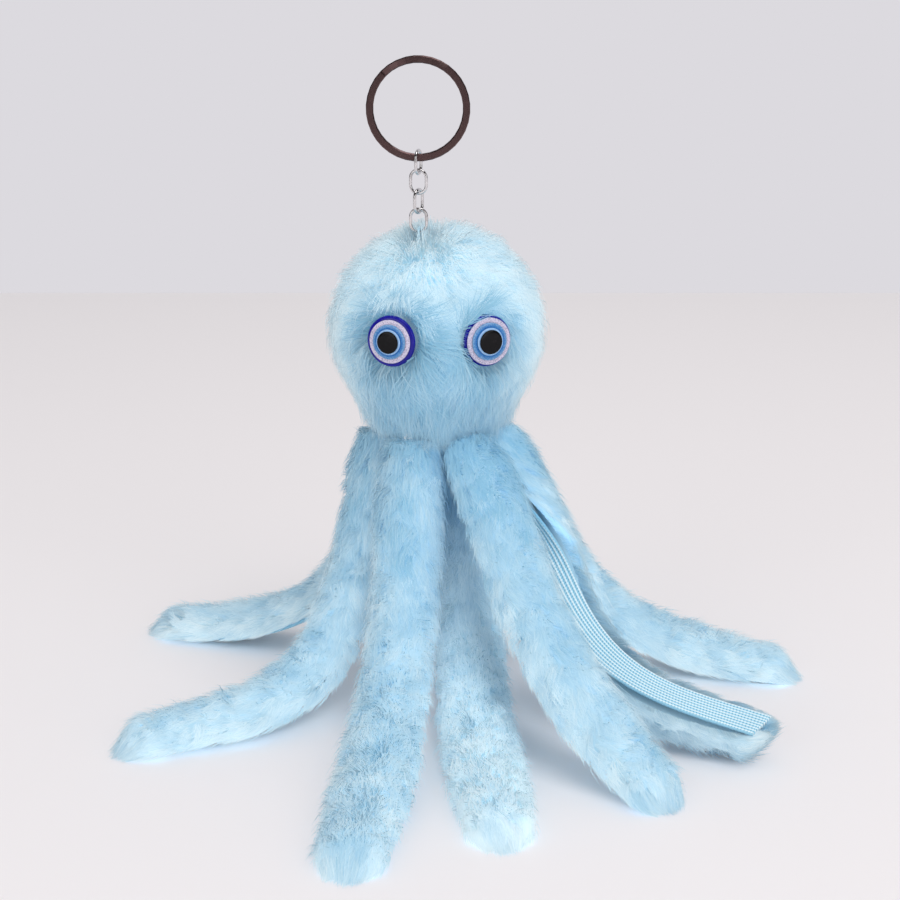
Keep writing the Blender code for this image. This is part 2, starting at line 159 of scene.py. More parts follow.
def bell(values, middle, width):
    """One where the values meet the middle, and less and less away from it."""
    return np.exp(-(((values - middle) / width) ** 2))


def in_scene(name, data):
    made = bpy.data.objects.new(name, data)
    bpy.context.scene.collection.objects.link(made)
    return made


def mesh_of(name, bm):
    mesh = bpy.data.meshes.new(name)
    bm.to_mesh(mesh)
    bm.free()
    return mesh


def move_to(bm, places):
    for vert, place in zip(bm.verts, places):
        vert.co = place


# Camera, floor and light


def pixel_ray(x, y):
    """The way the camera looks through a pixel of the photograph."""
    down = math.radians(CAMERA_DOWN_DEG)
    ahead = Vector((0, math.cos(down), -math.sin(down)))
    up = Vector((0, math.sin(down), math.cos(down)))
    half = PICTURE_PX / 2
    return (ahead * FOCUS_PX + Vector((1, 0, 0)) * (x - half) + up * (half - y)).normalized()


def make_camera():
    camera = in_scene("camera", bpy.data.cameras.new("camera"))
    camera.data.sensor_width = SENSOR_MM
    camera.data.lens = FOCUS_PX * SENSOR_MM / PICTURE_PX
    camera.data.clip_start = 0.01
    camera.data.clip_end = 20.0
    camera.location = CAMERA_PLACE
    camera.rotation_euler = (math.radians(90 - CAMERA_DOWN_DEG), 0, 0)
    bpy.context.scene.camera = camera


def make_softbox(name, place, aim, size, power, colour):
    lamp = bpy.data.lights.new(name, "AREA")
    lamp.shape = "DISK"
    lamp.size = size
    lamp.energy = power
    lamp.color = colour
    made = in_scene(name, lamp)
    made.location = place
    made.rotation_euler = (Vector(aim) - Vector(place)).to_track_quat("-Z", "Y").to_euler()


def put(tree, kind, wires=None, **settings):
    """A node with its settings. Each of its inputs takes a socket or a plain value."""
    made = tree.nodes.new(kind)
    for setting, value in settings.items():
        setattr(made, setting, value)
    for name, value in (wires or {}).items():
        if isinstance(value, bpy.types.NodeSocket):
            tree.links.new(value, made.inputs[name])
        else:
            made.inputs[name].default_value = value
    return made


def worked(tree, operation, *values):
    """What a Math node makes of its values."""
    return put(tree, "ShaderNodeMath", dict(enumerate(values)), operation=operation).outputs[0]


def make_world():
    """Soft even light, a pale wall for the camera, and in reflections a darker room in front of that wall."""
    world = bpy.data.worlds.new("studio")
    bpy.context.scene.world = world
    world.use_nodes = True
    tree = world.node_tree
    tree.nodes.clear()
    rays = put(tree, "ShaderNodeLightPath").outputs
    where = put(tree, "ShaderNodeTexCoord")
    parts = put(tree, "ShaderNodeSeparateXYZ", {0: where.outputs["Generated"]})
    behind = range_of(tree, parts.outputs[1], 0.1, 0.5)
    mirrored = two_colours(tree, behind, (0.04, 0.038, 0.04), WALL)
    colour = two_colours(tree, rays["Is Camera Ray"], mirrored, WALL)
    light = put(tree, "ShaderNodeBackground", {"Color": (0.97, 0.965, 0.98, 1), "Strength": 0.68})
    wall = put(tree, "ShaderNodeBackground", {"Color": colour})
    seen = worked(tree, "MAXIMUM", rays["Is Camera Ray"], rays["Is Glossy Ray"])
    seen = worked(tree, "MAXIMUM", seen, rays["Is Transmission Ray"])
    mix = put(tree, "ShaderNodeMixShader", {0: seen, 1: light.outputs[0], 2: wall.outputs[0]})
    put(tree, "ShaderNodeOutputWorld", {"Surface": mix.outputs[0]})


def make_floor(height):
    """A pale table top, whose far edge is the line behind the object in the photograph."""
    ray = pixel_ray(PICTURE_PX / 2, HORIZON_PX)
    far = CAMERA_PLACE + ray * ((height - CAMERA_PLACE.z) / ray.z)
    bm = bmesh.new()
    bmesh.ops.create_grid(bm, x_segments=4, y_segments=4, size=1.0)
    for vert in bm.verts:
        vert.co = (vert.co.x * 3.0, far.y - 1.8 + vert.co.y * 1.8, height)
    made = in_scene("table_top", mesh_of("table_top", bm))
    finish, _, _ = finish_named("table_top", Base_Color=(*TABLE, 1), Roughness=0.7, Specular_IOR_Level=0.2)
    made.data.materials.append(finish)


# Materials


def finish_named(name, **plain):
    """A material, its node tree and its Principled BSDF with plain values set on its sockets."""
    made = bpy.data.materials.new(f"finished_{name}")
    made["slot"] = name
    made.use_nodes = True
    base = made.node_tree.nodes["Principled BSDF"]
    for socket, value in plain.items():
        base.inputs[socket.replace("_", " ")].default_value = value
    return made, made.node_tree, base


def two_colours(tree, factor, low, high):
    """A colour between two, by a mask."""
    low, high = ((*colour, 1) if isinstance(colour, tuple) else colour for colour in (low, high))
    return put(tree, "ShaderNodeMix", {0: factor, 6: low, 7: high}, data_type="RGBA").outputs[2]


def range_of(tree, value, low, high, to_low=0.0, to_high=1.0):
    wires = {"Value": value, "From Min": low, "From Max": high, "To Min": to_low, "To Max": to_high}
    return put(tree, "ShaderNodeMapRange", wires).outputs[0]


def make_grain_group():
    """Fine grain on Object coordinates: an even mask and a sparse one of marks."""
    group = bpy.data.node_groups.new("fine_grain", "ShaderNodeTree")
    for name, way in (("Scale", "INPUT"), ("Grain", "OUTPUT"), ("Marks", "OUTPUT")):
        group.interface.new_socket(name, in_out=way, socket_type="NodeSocketFloat")
    source = put(group, "NodeGroupInput")
    where = {"Vector": put(group, "ShaderNodeTexCoord").outputs["Object"]}
    fine = {**where, "Scale": source.outputs["Scale"], "Detail": 3.0, "Roughness": 0.6}
    noise = put(group, "ShaderNodeTexNoise", fine)
    scale = worked(group, "MULTIPLY", source.outputs["Scale"], 0.23)
    patches = put(group, "ShaderNodeTexNoise", {**where, "Scale": scale, "Detail": 2.0})
    marks = range_of(group, patches.outputs["Fac"], 0.56, 0.72)
    put(group, "NodeGroupOutput", {"Grain": noise.outputs["Fac"], "Marks": marks})
    return group


def grain(tree, group, scale):
    return put(tree, "ShaderNodeGroup", {"Scale": scale}, node_tree=group).outputs


def bump(tree, base, height, strength, distance):
    made = put(tree, "ShaderNodeBump", {"Height": height, "Strength": strength, "Distance": distance})
    tree.links.new(made.outputs[0], base.inputs["Normal"])


def paint(tree, base, colour):
    tree.links.new(colour, base.inputs["Base Color"])


def make_finishes():
    group = make_grain_group()
    made = {}

    # each one's colour, that of its marks, the scale of its grain, and its least and greatest roughness
    metals = {
        "gunmetal": ((0.13, 0.082, 0.082), (0.17, 0.115, 0.11), 900.0, (0.26, 0.38)),
        # the steel's darker marks stand partly for painted reflections of the dark room in front
        "bright_steel": ((0.66, 0.65, 0.66), (0.36, 0.34, 0.34), 1400.0, (0.05, 0.14)),
    }
    for name, (plain, marked, scale, rough) in metals.items():
        finish, tree, base = finish_named(name, Metallic=1.0)
        grains = grain(tree, group, scale)
        paint(tree, base, two_colours(tree, grains["Marks"], plain, marked))
        tree.links.new(range_of(tree, grains["Grain"], 0.3, 0.7, *rough), base.inputs["Roughness"])
        made[name] = finish

    # each one's colour, that of its specks, the scale and span of its grain, and its roughness
    grained = {
        "navy_resin": ((0.008, 0.007, 0.25), (0.012, 0.010, 0.32), 700.0, (0.54, 0.66), 0.12),
        "pearl_resin": ((0.66, 0.60, 0.75), (0.30, 0.30, 0.44), 3400.0, (0.47, 0.62), 0.25),
        "light_blue_resin": ((0.27, 0.47, 0.78), (0.34, 0.55, 0.84), 1500.0, (0.45, 0.6), 0.2),
        "black_resin": ((0.004, 0.004, 0.005), (0.008, 0.007, 0.008), 700.0, (0.54, 0.66), 0.1),
        "clear_glue": ((0.74, 0.72, 0.64), (0.82, 0.80, 0.74), 700.0, (0.54, 0.66), 0.3),
        "blue_felt": ((0.28, 0.50, 0.66), (0.42, 0.64, 0.78), 1500.0, (0.3, 0.7), 0.95),
        "white_fibre": ((0.74, 0.74, 0.72), (0.90, 0.90, 0.88), 700.0, (0.3, 0.7), 0.95),
        "blue_thread": ((0.40, 0.60, 0.72), (0.56, 0.76, 0.85), 2500.0, (0.3, 0.7), 0.95),
    }
    for name, (plain, speck, scale, span, rough) in grained.items():
        cloth = rough > 0.9
        gloss = 0.15 if cloth or name == "black_resin" else 0.3
        sheen = 0.3 if cloth else 0.0
        finish, tree, base = finish_named(name, Roughness=rough, Specular_IOR_Level=gloss, Sheen_Weight=sheen)
        fine = grain(tree, group, scale)["Grain"]
        paint(tree, base, two_colours(tree, range_of(tree, fine, *span), plain, speck))
        if cloth:
            bump(tree, base, fine, 0.6, 0.15 * MM)
        made[name] = finish

    # the blue ring is paler and greyer at its outer edge, and grainy
    finish, tree, base = finish_named("sea_blue_resin", Roughness=0.18, Specular_IOR_Level=0.3)
    place = put(tree, "ShaderNodeUVMap", uv_map="round")
    out = put(tree, "ShaderNodeSeparateXYZ", {0: place.outputs[0]})
    flecks = range_of(tree, grain(tree, group, 3400.0)["Grain"], 0.42, 0.6)
    inner = two_colours(tree, flecks, (0.010, 0.12, 0.42), (0.035, 0.21, 0.52))
    outer = two_colours(tree, flecks, (0.08, 0.28, 0.54), (0.30, 0.44, 0.64))
    fade = range_of(tree, out.outputs[0], 0.80, 1.0)
    paint(tree, base, two_colours(tree, fade, inner, outer))
    made["sea_blue_resin"] = finish

    made["pale_blue_fur"] = make_fur_finish()
    made["woven_tape"] = make_tape_finish()
    return made


def make_fur_finish():
    """The map gives a hair's tone across and the place along it upwards. Light shows through from behind."""
    look = {"Roughness": 0.75, "Specular_IOR_Level": 0.15, "Sheen_Weight": 0.2, "Sheen_Roughness": 0.6}
    finish, tree, base = finish_named("pale_blue_fur", **look)
    place = put(tree, "ShaderNodeUVMap", uv_map="OFBake")
    parts = put(tree, "ShaderNodeSeparateXYZ", {0: place.outputs[0]})
    # deep and pale colours, each from root to tip; the deeper roots stand partly for painted shade deep in
    # the pile
    deep = two_colours(tree, parts.outputs[1], (0.16, 0.40, 0.57), (0.34, 0.61, 0.77))
    pale = two_colours(tree, parts.outputs[1], (0.58, 0.78, 0.86), (0.82, 0.93, 0.97))
    colour = two_colours(tree, parts.outputs[0], deep, pale)
    paint(tree, base, colour)
    through = put(tree, "ShaderNodeBsdfTranslucent", {"Color": colour})
    face = put(tree, "ShaderNodeNewGeometry")
    sides = {0: face.outputs["Backfacing"], 1: base.outputs[0], 2: through.outputs[0]}
    mix = put(tree, "ShaderNodeMixShader", sides)
    tree.links.new(mix.outputs[0], tree.nodes["Material Output"].inputs["Surface"])
    return finish


def make_tape_finish():
    """Pale ribs along the tape on a blue ground, with dark dashes between. The map is in ribs and picks."""
    finish, tree, base = finish_named("woven_tape", Roughness=0.8, Specular_IOR_Level=0.2, Sheen_Weight=0.15)
    place = put(tree, "ShaderNodeUVMap", uv_map="weave")
    parts = put(tree, "ShaderNodeSeparateXYZ", {0: place.outputs[0]})
    across, along = parts.outputs[0], parts.outputs[1]
    rib = worked(tree, "PINGPONG", across, 0.5)
    zigzag = worked(tree, "PINGPONG", along, 0.5)
    rib_top = range_of(tree, worked(tree, "MULTIPLY_ADD", zigzag, 0.16, rib), 0.26, 0.40)
    row = worked(tree, "FLOOR", across)
    pick = worked(tree, "PINGPONG", worked(tree, "MULTIPLY_ADD", row, 0.37, along), 0.5)
    ground = two_colours(tree, range_of(tree, pick, 0.12, 0.22), (0.16, 0.42, 0.60), (0.36, 0.66, 0.82))
    cord = two_colours(tree, range_of(tree, pick, 0.0, 0.4), (0.68, 0.85, 0.92), (0.80, 0.92, 0.97))
    woven = two_colours(tree, rib_top, ground, cord)
    # the tape's two edges in a plain mid blue
    side = worked(tree, "ABSOLUTE", worked(tree, "SUBTRACT", across, TAPE_RIBS / 2))
    edge_band = range_of(tree, side, TAPE_RIBS / 2 - 0.3, TAPE_RIBS / 2 - 0.1)
    edged = two_colours(tree, edge_band, woven, (0.34, 0.62, 0.77))
    # painted shade on the tape near the leg's root
    painted_root_shade = range_of(tree, along, 46.0, 16.0)
    paint(tree, base, two_colours(tree, painted_root_shade, edged, (0.17, 0.46, 0.64)))
    height = worked(tree, "MULTIPLY_ADD", rib_top, pick, rib_top)
    bump(tree, base, height, 0.4, 0.10 * MM)
    return finish


# Pieces


def new_piece(name, bm, finish, body, *nodes):
    """A smooth piece of a mesh that has just been built."""
    mesh = mesh_of(name, bm)
    mesh.shade_smooth()
    return keep_piece(mesh, finish, body, *nodes)


def keep_piece(mesh, finish, body, *nodes):
    """An object of the mesh's name that rides on its body and stands for its nodes of the frame."""
    mesh.materials.append(finish)
    made = in_scene(mesh.name, mesh)
    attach(made, body)
    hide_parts(*nodes)
    return made


def node_points(name):
    """The points of a node of the frame, each once."""
    mesh = NODES[name].data
    points = np.empty(len(mesh.vertices) * 3)
    mesh.vertices.foreach_get("co", points)
    return np.unique(points.reshape(-1, 3).round(7), axis=0)


def surface_of(name):
    mesh = NODES[name].data
    places = [v.co.copy() for v in mesh.vertices]
    return BVHTree.FromPolygons(places, [tuple(p.vertices) for p in mesh.polygons])


def only(kind, items):
    return [item for item in items if isinstance(item, kind)]


def turned(profile, steps):
    """A profile of (radius, height) points that starts and ends on Z, spun into a closed body."""
    bm = bmesh.new()
    verts = [bm.verts.new((radius, 0, height)) for radius, height in profile]
    edges = [bm.edges.new(pair) for pair in zip(verts, verts[1:])]
    bmesh.ops.spin(bm, geom=verts + edges, axis=(0, 0, 1), angle=math.tau, steps=steps, use_merge=True)
    bmesh.ops.remove_doubles(bm, verts=bm.verts, dist=0.002 * MM)
    bmesh.ops.recalc_face_normals(bm, faces=bm.faces)
    return bm


def disc_of(name, middle):
    """A flat round node's matrix, with Z away from a middle, its radius, and its ends along Z."""
    points = node_points(name)
    centre = points.mean(axis=0)
    way = np.linalg.svd(points - centre)[2][2]
    if way @ (centre - middle) < 0:
        way = -way
    along, _, far = off_axis(points, centre, way)
    turn = Vector(way).to_track_quat("Z", "Y").to_matrix().to_4x4()
    return Matrix.Translation(Vector(centre)) @ turn, far.max(), along.min(), along.max()


def map_round(bm, radius):
    """A map of a body turned on Z: its share of the radius, and its turn."""
    layer = bm.loops.layers.uv.new("round")
    for face in bm.faces:
        for loop in face.loops:
            co = loop.vert.co
            loop[layer].uv = (math.hypot(co.x, co.y) / radius, math.atan2(co.y, co.x) / math.tau + 0.5)


def arc(centre, radius, start, stop, steps):
    """Points of an arc in (radius, height), between angles in degrees from outwards."""
    angles = np.radians(np.linspace(start, stop, steps + 1))
    return [(centre[0] + radius[0] * math.cos(a), centre[1] + radius[1] * math.sin(a)) for a in angles]


# Eyes


def make_eyes(finishes, middle):
    """Layered beads: a navy base, domed rings and a pupil. Gives each one's foot, its way and its radius."""
    slots = {
        "base": "navy_resin",
        "white_ring": "pearl_resin",
        "blue_ring": "sea_blue_resin",
        "light_ring": "light_blue_resin",
        "pupil": "black_resin",
        "glue": "clear_glue",
    }
    beads = []
    for side, ring_share in RING_SHARES.items():
        for layer, slot in slots.items():
            node = f"{side}_eye_{layer}"
            place, radius, low, high = disc_of(node, middle)
            if layer not in ("base", "glue"):
                radius *= ring_share
            tall = high - low
            edge = min(tall * 0.45, 0.9 * MM) if layer == "base" else tall * 0.62
            dome = 0.10 * MM if layer != "glue" else 0.0
            back = radius * (BEAD_BACK if layer == "base" else 1.0)
            foot = arc((back - edge * 0.5, low + edge * 0.5), (edge * 0.5, edge * 0.5), -90, 0, 4)
            painted_side_light = arc((radius - edge, high - edge - dome), (edge, edge), 0, 80, 6)
            profile = [(0, low)] + foot + painted_side_light
            out, up = painted_side_light[-1]
            for share in (1 - i / 6 for i in range(1, 7)):
                profile.append((out * share, up + (high - up) * (1 - share**2)))
            bm = turned(profile, 72)
            map_round(bm, radius)
            bm.transform(place)
            new_piece(f"{side}_bead_{layer}", bm, finishes[slot], "head", node)
            if layer == "base":
                matrix = np.array(place)
                beads.append((matrix[:3, 3] + matrix[:3, 2] * low, matrix[:3, 2], radius * 0.98))
    return beads


# Chain


def make_links(finish):
    """Oval links with a faint weld mark, each where its node is."""
    for number in range(1, 5):
        node = f"chain_link_{number}"
        points = node_points(node)
        centre = (points.max(axis=0) + points.min(axis=0)) / 2
        flat = points[:, :2] - centre[:2]
        across = np.linalg.svd(flat)[2]
        wide = np.ptp(flat @ across[0])
        wire = np.ptp(flat @ across[1])
        tall = np.ptp(points[:, 2])
        bow = (wide - wire) / 2
        half = tall / 2 - wire / 2 - bow
        bm = bmesh.new()
        start = Matrix.Translation((bow, 0, half))
        ring = bmesh.ops.create_circle(bm, segments=18, radius=wire / 2, matrix=start)
        edges = list({e for v in ring["verts"] for e in v.link_edges})
        for end in (1, -1):
            pin = (0, 0, half * end)
            spun = bmesh.ops.spin(bm, geom=edges, cent=pin, axis=(0, -1, 0), angle=math.pi, steps=20)
            edges = only(bmesh.types.BMEdge, spun["geom_last"])
            straight = bmesh.ops.extrude_edge_only(bm, edges=edges)["geom"]
            moved = only(bmesh.types.BMVert, straight)
            bmesh.ops.translate(bm, verts=moved, vec=(0, 0, -2 * half * end))
            edges = [e for e in only(bmesh.types.BMEdge, straight) if all(v in moved for v in e.verts)]
        bmesh.ops.remove_doubles(bm, verts=bm.verts, dist=0.005 * MM)
        for vert in bm.verts:
            weld = math.exp(-((vert.co.z / (0.5 * MM)) ** 2)) * (vert.co.x > 0)
            vert.co.y *= 1 + 0.07 * weld
        bmesh.ops.recalc_face_normals(bm, faces=bm.faces)
        turn = Matrix.Rotation(math.atan2(across[0][1], across[0][0]), 4, "Z")
        bm.transform(Matrix.Translation(Vector(centre)) @ turn)
        new_piece(f"oval_link_{number}", bm, finish, f"link_{number}", node)


# Threads and patch


def between(values, at):
    """Rows of values at fractional places, on a smooth curve through them."""
    count = len(values)
    low = np.clip(np.floor(at).astype(int), 0, count - 2)
    share = (at - low)[:, None]
    before = values[np.clip(low - 1, 0, count - 1)]
    start, stop = values[low], values[low + 1]
    after = values[np.clip(low + 2, 0, count - 1)]
    return 0.5 * (
        2 * start
        + (stop - before) * share
        + (2 * before - 5 * start + 4 * stop - after) * share**2
        + (3 * start - before - 3 * stop + after) * share**3
    )


def path_frames(points, first_side):
    """Side and normal along a path, with the side carried on from point to point."""
    tangents = unit(np.gradient(points, axis=0))
    sides = []
    side = np.array(first_side, float)
    for tangent in tangents:
        side = unit(side - tangent * (side @ tangent))
        sides.append(side)
    sides = np.array(sides)
    return sides, np.cross(sides, tangents)


def bend(bm, points, sides, normals):
    """Lays a body that stands from Z 0 to 1 along a path: its X goes aside and its Y along the normal."""
    co = np.array([v.co for v in bm.verts])
    at = co[:, 2] * (len(points) - 1)
    aside = unit(between(sides, at)) * co[:, :1]
    laid = between(points, at) + aside + unit(between(normals, at)) * co[:, 1:2]
    move_to(bm, laid)
    bmesh.ops.recalc_face_normals(bm, faces=bm.faces)


def twisted_thread(points, first_side, thickness, turns, steps):
    """Two plies wound round each other along a path."""
    made = bmesh.new()
    sides, normals = path_frames(points, first_side)
    radius = thickness * 0.27
    for ply in (0, 1):
        bm = bmesh.new()
        bmesh.ops.create_cone(bm, cap_ends=True, segments=8, radius1=radius, radius2=radius, depth=1.0)
        bmesh.ops.translate(bm, verts=bm.verts, vec=(0, 0, 0.5))
        long = [e for e in bm.edges if abs(e.verts[0].co.z - e.verts[1].co.z) > 0.5]
        bmesh.ops.subdivide_edges(bm, edges=long, cuts=steps, use_grid_fill=True)
        for vert in bm.verts:
            angle = math.tau * turns * vert.co.z + math.pi * ply
            vert.co.x += thickness * 0.23 * math.cos(angle)
            vert.co.y += thickness * 0.23 * math.sin(angle)
        bend(bm, points, sides, normals)
        mesh = mesh_of("ply", bm)
        made.from_mesh(mesh)
        bpy.data.meshes.remove(mesh)
    return made


def make_sewing(finishes, middle):
    """The loop the head hangs on, its knot, the thread round the cover's mouth, and the legs' patch."""
    low, high = np.array(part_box("hanging_loop"))
    thick = high[0] - low[0]
    half = (high[1] - low[1] - thick) / 2
    x, y, _ = (low + high) / 2
    top = high[2] - thick / 2 - half
    bow = [(x, y - half * math.cos(a), top + half * math.sin(a)) for a in np.linspace(0, math.pi, 9)]
    points = np.array([(x, y - half, low[2]), *bow, (x, y + half, low[2])])
    loop = between(points, np.linspace(0, len(points) - 1, 60))

    low, high = np.array(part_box("hanging_loop_knot"))
    centre, radius = (low + high) / 2, (high[0] - low[0]) / 2
    t = np.linspace(0, math.tau, 70)
    wound = (np.sin(t) + 2 * np.sin(2 * t), np.cos(t) - 2 * np.cos(2 * t), -1.6 * np.sin(3 * t))
    knot = centre + np.stack(wound, axis=1) * radius * 0.22

    low, high = np.array(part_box("gathering_thread"))
    centre, drawn = (low + high) / 2, high[2] - low[2]
    radius = (high[0] - low[0] - drawn) / 2
    t = np.linspace(0, math.tau, 60)
    mouth = centre + radius * np.stack([np.cos(t), np.sin(t), 0 * t], axis=1)

    threads = (
        ("twisted_hanging_loop", "hanging_loop", loop, (1, 0, 0), thick, 22, 160),
        ("loop_knot", "hanging_loop_knot", knot, (0, 0, 1), thick * 0.9, 16, 150),
        ("twisted_gathering_thread", "gathering_thread", mouth, (0, 0, 1), drawn, 26, 200),
    )
    for name, node, *thread in threads:
        new_piece(name, twisted_thread(*thread), finishes["blue_thread"], "head", node)

    place, radius, low, high = disc_of("leg_patch", middle)
    tall = high - low
    profile = [(radius * i / 6, low) for i in range(6)]
    profile += arc((radius - tall / 2, (low + high) / 2), (tall / 2, tall / 2), -90, 90, 8)
    profile += [(radius * i / 6, high) for i in range(5, -1, -1)]
    bm = turned(profile, 64)
    for vert in bm.verts:
        turn = math.atan2(vert.co.y, vert.co.x)
        vert.co.z += 0.08 * MM * math.sin(5 * turn) * math.hypot(vert.co.x, vert.co.y) / radius
    bm.transform(place)
    patch = new_piece("felt_patch", bm, finishes["blue_felt"], "head", "leg_patch")


# Fur


def hair_block(cuts):
    """A flat hair on the origin, one high and two wide, that narrows to a point: its points and faces."""
    bm = bmesh.new()
    bmesh.ops.create_grid(bm, x_segments=1, y_segments=cuts + 1, size=1.0)
    for vert in bm.verts:
        vert.co = (vert.co.x, 0, (vert.co.y + 1) / 2)
    bmesh.ops.pointmerge(bm, verts=[v for v in bm.verts if v.co.z > 0.999], merge_co=(0, 0, 1))
    bmesh.ops.triangulate(bm, faces=bm.faces)
    bm.normal_update()
    bmesh.ops.reverse_faces(bm, faces=[f for f in bm.faces if f.normal.y > 0])
    points, _, faces = as_arrays(bm)
    return points, faces


def mapped_mesh(name, co, tri, maps, normals):
    """A mesh of triangles with its map and its normals."""
    mesh = bpy.data.meshes.new(name)
    mesh.from_pydata(co.tolist(), [], tri.tolist())
    mesh.validate()
    layer = mesh.uv_layers.new(name="OFBake")
    layer.uv.foreach_set("vector", maps[tri.ravel()].astype(np.float32).ravel())
    mesh.shade_smooth()
    mesh.normals_split_custom_set_from_vertices(normals)
    return mesh


def hide_mesh(name, bm, tone, root):
    """The hide that hairs stand on, in the colour of their roots."""
    points, normals, faces = as_arrays(bm)
    flat = (points - points.min(axis=0)) / np.ptp(points, axis=0)
    across = tone + 0.1 * flat[:, 0] + 0.05 * flat[:, 2]
    maps = np.stack([across, root + 0.02 * flat[:, 1] + 0.004 * flat[:, 2]], axis=1)
    return mapped_mesh(name, points, faces, maps, normals)


def fur_mesh(name, block, paths, widths, tones, outward, soften, root):
    """Hairs, each the block bent along its own path with its face outwards, as one mesh.

    The map's width is the hair's tone and its height the place along the hair.
    """
    points, faces = block
    count, levels = paths.shape[:2]
    level = np.rint(points[:, 2] * (levels - 1)).astype(int)
    taper = (1 - points[:, 2] ** 2)[:, None]
    way = unit(paths[:, -1] - paths[:, 0])
    side = unit(np.cross(way, outward))
    over = np.cross(side, way)
    roll = np.radians(np.random.default_rng(5).normal(0, HAIR_ROLL_DEG, (count, 1)))
    side, over = side * np.cos(roll) + over * np.sin(roll), over * np.cos(roll) - side * np.sin(roll)
    aside = side[:, None] * points[:, :1] * widths[:, None, None] / 2 * taper
    placed = paths[:, level] + aside
    own = unit(over[:, None] + side[:, None] * points[:, :1] * 0.5)
    normals = unit(own * (1 - soften) + outward[:, None] * soften)
    u = np.clip(tones, 0.02, 0.97)[:, None] + 0.012 * points[:, 0]
    v = np.broadcast_to(root + (0.97 - root) * points[:, 2], u.shape)
    maps = np.stack([u, v], axis=2).reshape(-1, 2)
    hair_faces = (faces[None] + np.arange(count)[:, None, None] * len(points)).reshape(-1, 3)
    return mapped_mesh(name, placed.reshape(-1, 3), hair_faces, maps, normals.reshape(-1, 3))


def keep_fur(node, hide, hairs, finish, body):
    """The hide and its hairs. Only the hide casts a shadow, because light finds its way between hairs."""
    for mesh in (hide, *hairs):
        piece = keep_piece(mesh, finish, body, node)
        piece.visible_shadow = mesh == hide


def as_arrays(bm):
    """A body's points, their normals and its triangles. The body is freed."""
    bmesh.ops.triangulate(bm, faces=bm.faces)
    bm.verts.index_update()
    bm.normal_update()
    points = np.array([v.co for v in bm.verts])
    normals = np.array([v.normal for v in bm.verts])
    faces = np.array([[v.index for v in f.verts] for f in bm.faces])
    bm.free()
    return points, normals, faces


def nearest_of(spots, wanted):
    """Which of the spots each wanted place is nearest to."""
    tree = KDTree(len(spots))
    for i, spot in enumerate(spots):
        tree.insert(spot, i)
    tree.balance()
    return np.array([tree.find(place)[1] for place in wanted])


def even_ways(count, rng):
    """Directions spread evenly over a ball, a little shaken."""
    i = np.arange(count) + 0.5
    up = 1 - 2 * i / count
    turn = math.pi * (1 + 5**0.5) * i
    flat = np.sqrt(1 - up**2)
    ways = np.stack([np.cos(turn) * flat, np.sin(turn) * flat, up], axis=1)
    return unit(ways + rng.normal(0, 0.6 / math.sqrt(count), ways.shape))


def curve_between(start, control, stop, levels):
    """Points of a bow from start to stop for each hair."""
    share = np.linspace(0, 1, levels)[:, None]
    start, control, stop = (ends[:, None] for ends in (start, control, stop))
    return start * (1 - share) ** 2 + control * 2 * share * (1 - share) + stop * share**2


def clear_of_beads(paths, ups, beads):
    """Stands up the hairs that would lie across a bead, and moves what is still in one out to its side."""
    rise = ((paths - paths[:, :1]) * ups[:, None]).sum(axis=2, keepdims=True)
    upright = paths[:, :1] + ups[:, None] * rise
    for foot, way, radius in beads:
        need = radius + BEAD_GAP
        chosen = upright.copy()
        waiting = np.ones(len(paths), bool)
        for share in (1.0, 0.8, 0.6, 0.4, 0.2):
            tried = upright + (paths - upright) * share
            tried = np.where(waiting[:, None, None], tried, chosen)
            points = np.concatenate([tried, (tried[:, 1:] + tried[:, :-1]) / 2], axis=1)
            along, _, far = off_axis(points, foot, way)
            free = ~((along > -BEAD_GAP_DEPTH) & (far < need)).any(axis=1)
            chosen = np.where((waiting & free)[:, None, None], tried, chosen)
            waiting &= ~free
        along, flat, far = off_axis(chosen, foot, way)
        inside = (along > -BEAD_GAP_DEPTH) & (far < need)
        moved = flat * (need / np.maximum(far, 1e-6))[..., None] + along[..., None] * way + foot
        paths = np.where(inside[..., None], moved, chosen)
    return paths


class Head:
    """The head's measures, read from its node."""

    def __init__(self):
        low, high = np.array(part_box("head_fur_cover"))
        self.radius = (high[0] - low[0]) / 2
        self.middle = np.array([(low[0] + high[0]) / 2, (low[1] + high[1]) / 2, high[2] - self.radius])
        self.drop = self.middle[2] - low[2]

    def shell(self, ways, inset):
        """Places at directions from the middle on the head's outer form, less an inset."""
        radius, drop = self.radius - inset, self.drop - inset * 0.45
        low = np.minimum(ways[:, 2], 0)
        full = (lengths(ways[:, :2]) / radius) ** HEAD_FULLNESS + (-low / drop) ** HEAD_FULLNESS
        reach = 1 / np.maximum(full, 1e-9) ** (1 / HEAD_FULLNESS)
        reach = np.where(ways[:, 2] >= 0, radius, reach)
        return self.middle + ways * reach[:, None]

    def way_at(self, x, y):
        """The direction from the middle to where a pixel's ray meets the head."""
        ray = np.array(pixel_ray(x, y))
        start = np.array(CAMERA_PLACE) - self.middle
        ahead = start @ ray
        step = -ahead - math.sqrt(max(ahead**2 - start @ start + self.radius**2, 0))
        return unit(start + ray * step)


def sideways(ways, wanted):
    """The part of the wanted vectors that lies along the head's surface, one long."""
    return unit(wanted - (wanted * ways).sum(axis=1, keepdims=True) * ways)


